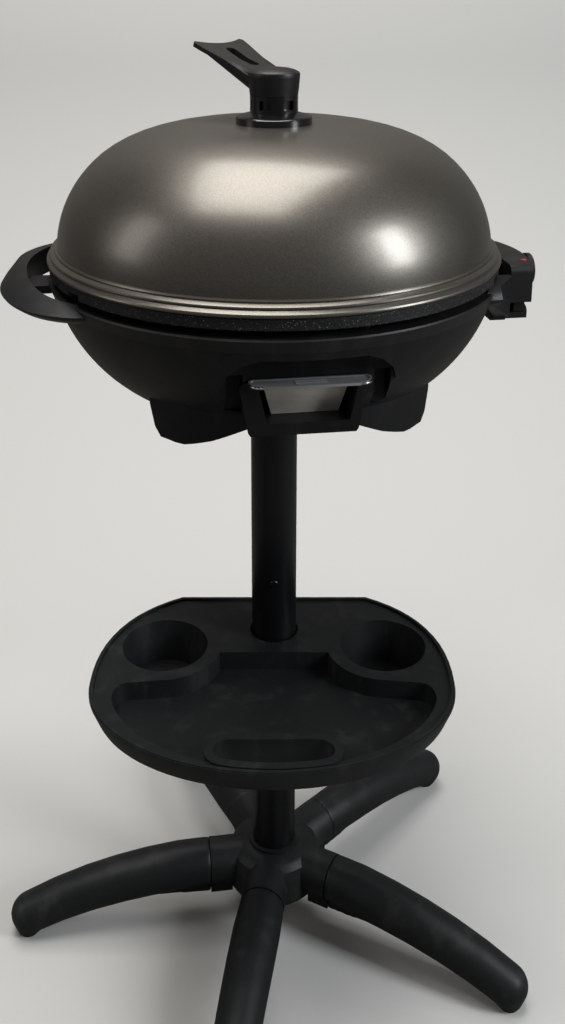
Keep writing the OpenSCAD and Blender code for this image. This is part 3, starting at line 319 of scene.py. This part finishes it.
def dark_gloss(name, colour, roughness):
    """Glossy black plastic with faint swirls and a little dust in it."""
    finish = Finish(name, roughness, {"Specular IOR Level": 0.55, "Coat Roughness": 0.08})
    swirl = finish.noise(45.0, 4.0, 0.6)
    dust = finish.cells(520.0).above(0.08, 0.04)
    tone = finish.blend(swirl, shade(colour, 0.8), shade(colour, 1.3))
    finish.feed("Base Color", finish.blend(dust, shade(colour, 4.0), tone))
    finish.feed("Roughness", roughness + swirl * 0.1)
    finish.feed("Coat Weight", 0.25 + swirl * 0.2)
    finish.bump(finish.noise(700.0, 2.0), 0.00003, 0.4)
    return finish.material


def soft_rubber(name, colour):
    """Matte rubber with a fine moulded bloom."""
    finish = Finish(name, 0.8, {"Specular IOR Level": 0.35})
    bloom = finish.noise(30.0, 4.0, 0.6)
    grain = finish.noise(1500.0, 3.0, 0.6)
    finish.feed("Base Color", finish.blend(bloom, shade(colour, 0.75), shade(colour, 1.8)))
    finish.feed("Roughness", 0.72 + bloom * 0.14)
    finish.bump(grain, 0.0001, 0.6)
    return finish.material


def lamp_lens(name, colour):
    """Red lamp lens with fine prisms inside."""
    finish = Finish(name, 0.16, {"Coat Roughness": 0.05})
    prism = finish.node(
        "ShaderNodeTexWave",
        {"bands_direction": "DIAGONAL"},
        {"Vector": finish.place, "Scale": 420.0},
        "Fac",
    )
    tone = finish.blend(prism, shade(colour, 0.6), shade(colour, 1.5))
    finish.feed("Base Color", tone)
    finish.feed("Coat Weight", 0.4 + prism * 0.2)
    finish.bump(prism, 0.00012, 0.5)
    return finish.material


def printed_white(name, colour):
    """White printed or inlaid marks, slightly worn."""
    finish = Finish(name, 0.5, {"Specular IOR Level": 0.4})
    wear = finish.noise(1800.0, 3.0, 0.6).above(0.66, 0.1)
    finish.feed("Base Color", finish.blend(wear * 0.7, colour, shade(colour, 0.35)))
    finish.feed("Roughness", 0.45 + wear * 0.2)
    finish.bump(wear, 0.00005, 0.3)
    return finish.material


def finish_for(slot):
    """The finish of one of the record's material slots, made once."""
    if slot in FINISHES:
        return FINISHES[slot]
    tones = bpy.context.scene.grill_tones
    split = PULL_HIGH.z - FLANGE
    makers = {
        "stand_plastic": lambda: moulded_plastic(slot, tones.stand, 0.47, 1500.0, 0.3),
        "bowl_plastic": lambda: moulded_plastic(slot, tones.bowl, 0.44, 1700.0, 0.14),
        "handle_plastic": lambda: moulded_plastic(slot, tones.handle, 0.42, 1900.0, 0.18),
        "knob_plastic": lambda: moulded_plastic(slot, tones.knob, 0.4, 2000.0, 0.12),
        "pole_paint": lambda: powder_coat(slot, tones.pole),
        "lid_paint": lambda: lid_enamel(slot, tones.lid),
        "plate_coat": lambda: speckled_coat(slot, tones.plate),
        "pan_coat": lambda: pan_coat(slot, tones.pan, tones.flange, split),
        "bright_steel": lambda: drawn_steel(slot, tones.steel, 0.3, (1.0, 1.0, 12.0), 0.25),
        "tube_steel": lambda: oxidised_sheath(slot, tones.sheath),
        "collar_plastic": lambda: dark_gloss(slot, tones.collar, 0.2),
        "rubber": lambda: soft_rubber(slot, tones.rubber),
        "lamp_lens": lambda: lamp_lens(slot, tones.lamp),
        "printed_white": lambda: printed_white(slot, tones.marks),
        "rolled_edge": lambda: drawn_steel(slot, tones.steel, 0.26, (1.0, 6.0, 6.0), 0.1),
    }
    FINISHES[slot] = makers[slot]()
    return FINISHES[slot]


def deselect():
    """Leaves nothing selected, so that an operator acts on new pieces alone."""
    for thing in list(bpy.context.selected_objects):
        thing.select_set(False)


def activate(piece):
    deselect()
    piece.select_set(True)
    bpy.context.view_layer.objects.active = piece


def dress(piece, body, slot, finish=None, replaced=()):
    """Puts a finished piece on its body with its finish, and hides the CAD nodes that it takes
    the place of.
    """
    piece.data.materials.clear()
    piece.data.materials.append(finish_for(finish or slot))
    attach(piece, body)
    if replaced:
        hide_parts(*replaced)
    return piece


def coat_nodes(nodes):
    """Gives CAD nodes that stay as they are the finish of their slots."""
    for node in nodes:
        mesh = frame["nodes"][node].data
        mesh.materials.clear()
        mesh.materials.append(finish_for(SLOT_OF[node]))


def edit(piece):
    activate(piece)
    bpy.ops.object.mode_set(mode="EDIT")
    bpy.ops.mesh.select_all(action="SELECT")


def edit_only(piece, chosen):
    """Edits the piece with those of its corners selected whose place is chosen."""
    for vertex in piece.data.vertices:
        vertex.select = chosen(vertex.co)
    for edge in piece.data.edges:
        edge.select = all(piece.data.vertices[i].select for i in edge.vertices)
    for face in piece.data.polygons:
        face.select = all(piece.data.vertices[i].select for i in face.vertices)
    activate(piece)
    bpy.ops.object.mode_set(mode="EDIT")


def leave_edit():
    bpy.ops.object.mode_set(mode="OBJECT")


def apply(piece, modifier):
    activate(piece)
    bpy.ops.object.modifier_apply(modifier=modifier.name)


def settle(piece):
    """Puts the piece's place into its mesh."""
    activate(piece)
    bpy.ops.object.transform_apply(location=True, rotation=True, scale=True)


def welded_copy(node):
    """A copy of a CAD node whose loose triangles are joined."""
    mesh = frame["nodes"][node].data.copy()
    piece = bpy.data.objects.new(node + "_surface", mesh)
    bpy.context.scene.collection.objects.link(piece)
    activate(piece)
    bpy.ops.mesh.customdata_custom_splitnormals_clear()
    edit(piece)
    bpy.ops.mesh.remove_doubles(threshold=WELD)
    bpy.ops.mesh.normals_make_consistent(inside=False)
    leave_edit()
    return piece


def smooth_moulding(node, angle=32.0, finish=None):
    """A CAD node with smooth curves between its sharp edges."""
    piece = welded_copy(node)
    activate(piece)
    bpy.ops.object.shade_smooth_by_angle(angle=math.radians(angle))
    return dress(piece, BODY_OF[node], SLOT_OF[node], finish, (node,))


def melted_moulding(node, grid):
    """A CAD node whose facets and edges run into each other as on a moulding."""
    piece = welded_copy(node)
    remesh = piece.modifiers.new("grid", "REMESH")
    remesh.mode = "VOXEL"
    remesh.voxel_size = grid
    apply(piece, remesh)
    soften = piece.modifiers.new("soften", "SMOOTH")
    soften.factor = 0.5
    soften.iterations = SOFTENING
    apply(piece, soften)
    activate(piece)
    bpy.ops.object.shade_smooth()
    return dress(piece, BODY_OF[node], SLOT_OF[node], replaced=(node,))


class GrillTones(bpy.types.PropertyGroup):
    """Colours of the grill."""

    stand: bpy.props.FloatVectorProperty(
        name="Stand", description="Moulded stand and side tray",
        subtype="COLOR", size=4, min=0, max=1, default=(0.0115, 0.0135, 0.014, 1))
    pole: bpy.props.FloatVectorProperty(
        name="Pole", description="Powder-coated pole tubes",
        subtype="COLOR", size=4, min=0, max=1, default=(0.005, 0.0055, 0.0065, 1))
    lid: bpy.props.FloatVectorProperty(
        name="Lid", description="Metallic enamel of the lid",
        subtype="COLOR", size=4, min=0, max=1, default=(0.165, 0.151, 0.131, 1))
    bowl: bpy.props.FloatVectorProperty(
        name="Bowl", description="Moulded bowl",
        subtype="COLOR", size=4, min=0, max=1, default=(0.005, 0.0053, 0.006, 1))
    handle: bpy.props.FloatVectorProperty(
        name="Handles", description="Handle ring and controller",
        subtype="COLOR", size=4, min=0, max=1, default=(0.011, 0.011, 0.0115, 1))
    knob: bpy.props.FloatVectorProperty(
        name="Knob", description="Lid knob, lever and dial",
        subtype="COLOR", size=4, min=0, max=1, default=(0.011, 0.011, 0.0115, 1))
    collar: bpy.props.FloatVectorProperty(
        name="Vent collar", description="Glossy vent collar",
        subtype="COLOR", size=4, min=0, max=1, default=(0.005, 0.005, 0.0055, 1))
    plate: bpy.props.FloatVectorProperty(
        name="Grill plate", description="Non-stick coat of the plate",
        subtype="COLOR", size=4, min=0, max=1, default=(0.014, 0.0145, 0.015, 1))
    pan: bpy.props.FloatVectorProperty(
        name="Drip pan", description="Pan of the drip tray",
        subtype="COLOR", size=4, min=0, max=1, default=(0.86, 0.8, 0.73, 1))
    flange: bpy.props.FloatVectorProperty(
        name="Pull flange", description="Pull flange of the drip tray",
        subtype="COLOR", size=4, min=0, max=1, default=(0.3, 0.3, 0.31, 1))
    steel: bpy.props.FloatVectorProperty(
        name="Steel", description="Screws, reflector and bright edges",
        subtype="COLOR", size=4, min=0, max=1, default=(0.62, 0.62, 0.61, 1))
    sheath: bpy.props.FloatVectorProperty(
        name="Element", description="Sheath of the heating element",
        subtype="COLOR", size=4, min=0, max=1, default=(0.2, 0.19, 0.18, 1))
    rubber: bpy.props.FloatVectorProperty(
        name="Rubber", description="Foot pads and cord gland",
        subtype="COLOR", size=4, min=0, max=1, default=(0.018, 0.018, 0.018, 1))
    lamp: bpy.props.FloatVectorProperty(
        name="Pilot lamp", description="Lens of the pilot lamp",
        subtype="COLOR", size=4, min=0, max=1, default=(0.42, 0.03, 0.02, 1))
    marks: bpy.props.FloatVectorProperty(
        name="Dial marks", description="Marks round the dial",
        subtype="COLOR", size=4, min=0, max=1, default=(0.8, 0.8, 0.78, 1))


class GrillSizes(bpy.types.PropertyGroup):
    """Sizes of the details that are added to the CAD model."""

    moulding_grid: bpy.props.FloatProperty(
        name="Moulding grid", description="Grid on which the legs are smoothed",
        unit="LENGTH", default=0.0022, min=0.0015, max=0.004)
    rolled_edge: bpy.props.FloatProperty(
        name="Rolled edge", description="Radius of the rolled edge of the pull flange",
        unit="LENGTH", default=0.0012, min=0.0006, max=0.002)
    pull_length: bpy.props.FloatProperty(
        name="Pull length", description="How far the pull flange stands out",
        unit="LENGTH", default=0.0195, min=0.014, max=0.032)
    pull_thickness: bpy.props.FloatProperty(
        name="Pull thickness", description="Thickness of the pull flange",
        unit="LENGTH", default=0.0025, min=0.0015, max=0.004)
    pull_corner: bpy.props.FloatProperty(
        name="Pull corner", description="Size of the round corners of the pull flange",
        unit="LENGTH", default=0.0088, min=0.004, max=0.014)
    ridge_height: bpy.props.FloatProperty(
        name="Ridge height", description="Height of the pointer ridge on the dial",
        unit="LENGTH", default=0.0016, min=0.001, max=0.003)
    mark_count: bpy.props.IntProperty(
        name="Dial marks", description="Number of marks round the dial", default=9, min=3, max=15)
    mark_length: bpy.props.FloatProperty(
        name="Mark length", description="Length of a dial mark",
        unit="LENGTH", default=0.0042, min=0.001, max=0.008)
    mark_width: bpy.props.FloatProperty(
        name="Mark width", description="Width of a dial mark",
        unit="LENGTH", default=0.0012, min=0.0004, max=0.003)
    mark_thickness: bpy.props.FloatProperty(
        name="Mark thickness", description="Thickness of a dial mark",
        unit="LENGTH", default=0.0005, min=0.0003, max=0.001)
    mark_bevel: bpy.props.FloatProperty(
        name="Mark bevel", description="Width of the broken edges of a dial mark",
        unit="LENGTH", default=0.0002, min=0.0, max=0.0002)


class GrillStage(bpy.types.PropertyGroup):
    """Floor, light and camera."""

    floor: bpy.props.FloatVectorProperty(
        name="Floor", description="Colour of the floor",
        subtype="COLOR", size=4, min=0, max=1, default=(0.74, 0.73, 0.71, 1))
    floor_size: bpy.props.FloatProperty(
        name="Floor size", description="Length of the floor",
        unit="LENGTH", default=12, min=6, max=30)
    wall_distance: bpy.props.FloatProperty(
        name="Wall distance", description="Distance from the pole to the backdrop",
        unit="LENGTH", default=1.5, min=0.6, max=5)
    sweep: bpy.props.FloatProperty(
        name="Sweep", description="Radius between floor and backdrop",
        unit="LENGTH", default=0.9, min=0.1, max=2)
    floor_mirrored: bpy.props.FloatVectorProperty(
        name="Mirrored floor", description="Colour of the floor as the grill mirrors it",
        subtype="COLOR", size=4, min=0, max=1, default=(0.17, 0.165, 0.155, 1))
    world: bpy.props.FloatVectorProperty(
        name="World", description="Colour of the air round the grill",
        subtype="COLOR", size=4, min=0, max=1, default=(0.93, 0.93, 0.92, 1))
    world_light: bpy.props.FloatProperty(
        name="World light", description="Strength of the light from all round",
        default=0.12, min=0, max=1)
    key: bpy.props.FloatProperty(
        name="Key light", description="Power of the large lamp", default=60, min=0)
    side: bpy.props.FloatProperty(
        name="Side light", description="Power of the window-like lamp", default=40, min=0)
    camera_place: bpy.props.FloatVectorProperty(
        name="Camera place", description="Where the camera stands",
        subtype="TRANSLATION", size=3, default=(-0.1516, -1.0787, 1.1155))
    camera_tilt: bpy.props.FloatProperty(
        name="Camera tilt", description="How far the camera looks down",
        subtype="ANGLE", default=math.radians(15.836))
    camera_lens: bpy.props.FloatProperty(
        name="Lens", description="Focal length in millimetres", default=38.34, min=10, max=200)
    camera_shift: bpy.props.FloatVectorProperty(
        name="Camera shift", description="Shift of the picture across and up",
        size=2, default=(0.0083, -0.231))
    camera_angle: bpy.props.FloatProperty(
        name="Camera turn", description="Turn of the camera about the pole",
        subtype="ANGLE", default=math.radians(-8))


class GRILL_OT_stand(bpy.types.Operator):
    """Dresses the hub, the legs, the poles and the feet"""

    bl_idname = "grill.stand"
    bl_label = "Stand"

    def execute(self, context):
        grid = context.scene.grill_sizes.moulding_grid
        for node in sorted(frame["nodes"]):
            if node.startswith("leg_") and node[-1].isdigit():
                melted_moulding(node, grid)
        for node in ("base_hub", "hub_collar", "lower_pole", "upper_pole"):
            smooth_moulding(node)
        smooth_moulding("snap_button", 32.0, "pole_paint")
        coat_nodes(["pole_plug", "pole_washer", "pole_bolt"])
        coat_nodes(["leg_screws", "pole_coupling", "button_spring"])
        coat_nodes(sorted(node for node in frame["nodes"] if node.startswith("foot_pad_")))
        return {"FINISHED"}


class GRILL_OT_side_tray(bpy.types.Operator):
    """Dresses the side tray with its cup holders and recess"""

    bl_idname = "grill.side_tray"
    bl_label = "Side tray"

    def execute(self, context):
        smooth_moulding("side_tray", 38.0)
        coat_nodes(["tray_screws"])
        return {"FINISHED"}


class GRILL_OT_bowl(bpy.types.Operator):
    """Dresses the bowl, the handle ring and the pole socket"""

    bl_idname = "grill.bowl"
    bl_label = "Bowl and handles"

    def execute(self, context):
        smooth_moulding("bowl", 30.0)
        smooth_moulding("handle_ring", 42.0)
        smooth_moulding("pole_socket")
        coat_nodes(["ring_screws", "socket_screws", "reflector"])
        return {"FINISHED"}


class GRILL_OT_drip_tray(bpy.types.Operator):
    """Dresses the drip tray and rolls the edge of its pull flange"""

    bl_idname = "grill.drip_tray"
    bl_label = "Drip tray"

    def execute(self, context):
        smooth_moulding("drip_tray", 30.0)
        sizes = context.scene.grill_sizes
        radius = sizes.rolled_edge
        width = PULL_HIGH.x - PULL_LOW.x - 2 * radius
        depth = sizes.pull_length - 2 * radius
        middle = (PULL_HIGH.x + PULL_LOW.x) / 2
        front = PULL_LOW.y + radius
        deselect()
        bpy.ops.mesh.primitive_plane_add(
            size=1, location=(middle, front + depth / 2, PULL_HIGH.z - sizes.pull_thickness / 2)
        )
        piece = context.active_object
        piece.name = "pull_flange_edge"
        piece.scale = (width, depth, 1)
        settle(piece)
        edit(piece)
        bpy.ops.mesh.delete(type="ONLY_FACE")
        leave_edit()
        edit_only(piece, lambda place: place.y > front + depth / 2)
        bpy.ops.mesh.delete(type="EDGE")
        leave_edit()
        edit_only(piece, lambda place: place.y < front + depth / 2)
        bpy.ops.mesh.bevel(offset=sizes.pull_corner, segments=8, affect="VERTICES")
        leave_edit()
        activate(piece)
        bpy.ops.object.convert(target="CURVE")
        piece = context.active_object
        piece.data.bevel_depth = radius
        piece.data.bevel_resolution = 3
        piece.data.use_fill_caps = True
        bpy.ops.object.convert(target="MESH")
        piece = context.active_object
        bpy.ops.object.shade_smooth_by_angle(angle=math.radians(40))
        dress(piece, "drip_tray", "bright_steel", "rolled_edge")
        return {"FINISHED"}


class GRILL_OT_plate(bpy.types.Operator):
    """Dresses the grill plate, its element and its terminal"""

    bl_idname = "grill.plate"
    bl_label = "Grill plate"

    def execute(self, context):
        smooth_moulding("grill_plate", 30.0)
        smooth_moulding("heating_element", 40.0)
        coat_nodes(["terminal_housing", "terminal_pins", "housing_screws"])
        return {"FINISHED"}


class GRILL_OT_lid(bpy.types.Operator):
    """Dresses the lid, its vent and its lever"""

    bl_idname = "grill.lid"
    bl_label = "Lid"

    def execute(self, context):
        smooth_moulding("lid_shell", 24.0)
        for node in ("vent_base", "lid_handle"):
            smooth_moulding(node, 40.0)
        smooth_moulding("vent_shutter", 40.0, "collar_plastic")
        coat_nodes(["lid_bolt", "lid_washer"])
        return {"FINISHED"}


class GRILL_OT_controller(bpy.types.Operator):
    """Dresses the controller and marks its dial"""

    bl_idname = "grill.controller"
    bl_label = "Controller"

    def execute(self, context):
        sizes = context.scene.grill_sizes
        for node in ("controller_case", "controller_base", "dial", "probe", "cord_gland"):
            smooth_moulding(node, 30.0)
        coat_nodes(["dial_spindle", "pilot_lamp"])
        face_x = DIAL_HIGH.x - sizes.ridge_height
        centre_y = (DIAL_LOW.y + DIAL_HIGH.y) / 2
        centre_z = (DIAL_LOW.z + DIAL_HIGH.z) / 2
        radius = (DIAL_HIGH.z - DIAL_LOW.z) / 2 - DIAL_MARGIN - sizes.mark_length / 2
        marks = []
        for step in range(sizes.mark_count):
            turn = math.radians(DIAL_SWEEP * (step / (sizes.mark_count - 1) - 0.5))
            if abs(turn) < 0.1:
                continue  # the pointer ridge is there
            deselect()
            bpy.ops.mesh.primitive_cube_add(
                size=1, location=(face_x, centre_y, centre_z + radius)
            )
            mark = context.active_object
            mark.scale = (sizes.mark_thickness, sizes.mark_width, sizes.mark_length)
            settle(mark)
            edit(mark)
            bpy.ops.mesh.bevel(offset=sizes.mark_bevel, segments=2, affect="EDGES")
            bpy.ops.mesh.select_all(action="SELECT")
            bpy.ops.transform.rotate(
                value=turn, orient_axis="X", center_override=(face_x, centre_y, centre_z)
            )
            leave_edit()
            marks.append(mark)
        deselect()
        for mark in marks:
            mark.select_set(True)
        context.view_layer.objects.active = marks[0]
        bpy.ops.object.join()
        piece = context.active_object
        piece.name = "dial_marks"
        dress(piece, "dial", "knob_plastic", "printed_white")
        return {"FINISHED"}


class GRILL_OT_stage(bpy.types.Operator):
    """Makes the floor, the lights and the camera"""

    bl_idname = "grill.stage"
    bl_label = "Stage"

    def execute(self, context):
        stage = context.scene.grill_stage
        deselect()
        bpy.ops.mesh.primitive_plane_add(
            size=stage.floor_size, location=(0, stage.wall_distance - stage.floor_size / 2, 0)
        )
        floor = context.active_object
        floor.name = "studio_floor"
        settle(floor)
        edit_only(floor, lambda place: place.y > 0)
        bpy.ops.mesh.extrude_region_move(
            TRANSFORM_OT_translate={"value": (0, 0, stage.floor_size / 2)}
        )
        leave_edit()
        edit_only(floor, lambda place: place.y > 0 and place.z == 0)
        bpy.ops.mesh.bevel(offset=stage.sweep, segments=24, affect="EDGES")
        leave_edit()
        bpy.ops.object.shade_smooth()
        finish = Finish("studio_floor", 0.85, {"Specular IOR Level": 0.2})
        cloud = finish.noise(1.6, 4.0)
        tone = finish.blend(cloud, shade(stage.floor, 0.985), shade(stage.floor, 1.015))
        seen = finish.node("ShaderNodeLightPath", {}, {}, "Is Camera Ray")
        finish.feed("Base Color", finish.blend(seen, stage.floor_mirrored, tone))
        floor.data.materials.append(finish.material)

        world = bpy.data.worlds.new("studio_air")
        context.scene.world = world
        world.use_nodes = True
        air = world.node_tree
        back = air.nodes["Background"]
        back.inputs["Color"].default_value = stage.world
        path = air.nodes.new("ShaderNodeLightPath")
        seen = air.nodes.new("ShaderNodeMath")
        seen.operation = "MAXIMUM"
        air.links.new(path.outputs["Is Camera Ray"], seen.inputs[0])
        air.links.new(path.outputs["Is Transmission Ray"], seen.inputs[1])
        strength = air.nodes.new("ShaderNodeMapRange")
        strength.inputs["To Min"].default_value = stage.world_light
        strength.inputs["To Max"].default_value = 1.0
        air.links.new(seen.outputs[0], strength.inputs["Value"])
        air.links.new(strength.outputs[0], back.inputs["Strength"])

        self.lamp("top_lamp", stage.key, **TOP_LAMP)
        self.lamp("side_lamp", stage.side, **SIDE_LAMP)
        self.lamp("left_lamp", stage.side * LEFT_SHARE, **LEFT_LAMP)

        camera_data = bpy.data.cameras.new("photo_camera")
        camera = bpy.data.objects.new("photo_camera", camera_data)
        context.scene.collection.objects.link(camera)
        camera.location = stage.camera_place
        camera.rotation_euler = (math.pi / 2 - stage.camera_tilt, 0, stage.camera_angle)
        camera_data.lens = stage.camera_lens
        camera_data.shift_x, camera_data.shift_y = stage.camera_shift
        camera_data.clip_start = 0.02
        context.scene.camera = camera
        context.scene.view_settings.view_transform = "Standard"
        return {"FINISHED"}

    def lamp(self, name, power, place, width, height, tint):
        """A soft rectangular lamp that faces the middle of the grill."""
        light = bpy.data.lights.new(name, "AREA")
        light.shape = "RECTANGLE"
        light.size = width
        light.size_y = height
        light.energy = power
        light.color = tint
        thing = bpy.data.objects.new(name, light)
        bpy.context.scene.collection.objects.link(thing)
        thing.location = place
        x, y, z = place
        aim = (-x, -y, LAMP_AIM - z)
        flat = math.hypot(aim[0], aim[1])
        thing.rotation_euler = (
            math.pi / 2 + math.atan2(aim[2], flat),
            0,
            math.atan2(aim[1], aim[0]) - math.pi / 2,
        )


class GRILL_PT_panel(bpy.types.Panel):
    """The grill's pieces, in the sidebar"""

    bl_label = "Electric Grill"
    bl_idname = "GRILL_PT_panel"
    bl_space_type = "VIEW_3D"
    bl_region_type = "UI"
    bl_category = "Grill"

    def draw(self, context):
        for operator in OPERATORS:
            self.layout.operator(operator.bl_idname)


OPERATORS = (
    GRILL_OT_stage,
    GRILL_OT_stand,
    GRILL_OT_side_tray,
    GRILL_OT_bowl,
    GRILL_OT_drip_tray,
    GRILL_OT_plate,
    GRILL_OT_lid,
    GRILL_OT_controller,
)
GROUPS = (("grill_tones", GrillTones), ("grill_sizes", GrillSizes), ("grill_stage", GrillStage))


def register():
    for name, group in GROUPS:
        bpy.utils.register_class(group)
        setattr(bpy.types.Scene, name, bpy.props.PointerProperty(type=group))
    for operator in OPERATORS:
        bpy.utils.register_class(operator)
    bpy.utils.register_class(GRILL_PT_panel)


def unregister():
    bpy.utils.unregister_class(GRILL_PT_panel)
    for operator in reversed(OPERATORS):
        bpy.utils.unregister_class(operator)
    for name, group in reversed(GROUPS):
        delattr(bpy.types.Scene, name)
        bpy.utils.unregister_class(group)


def main():
    register()
    for operator in OPERATORS:
        group, name = operator.bl_idname.split(".")
        getattr(getattr(bpy.ops, group), name)()


if __name__ == "__main__":
    main()
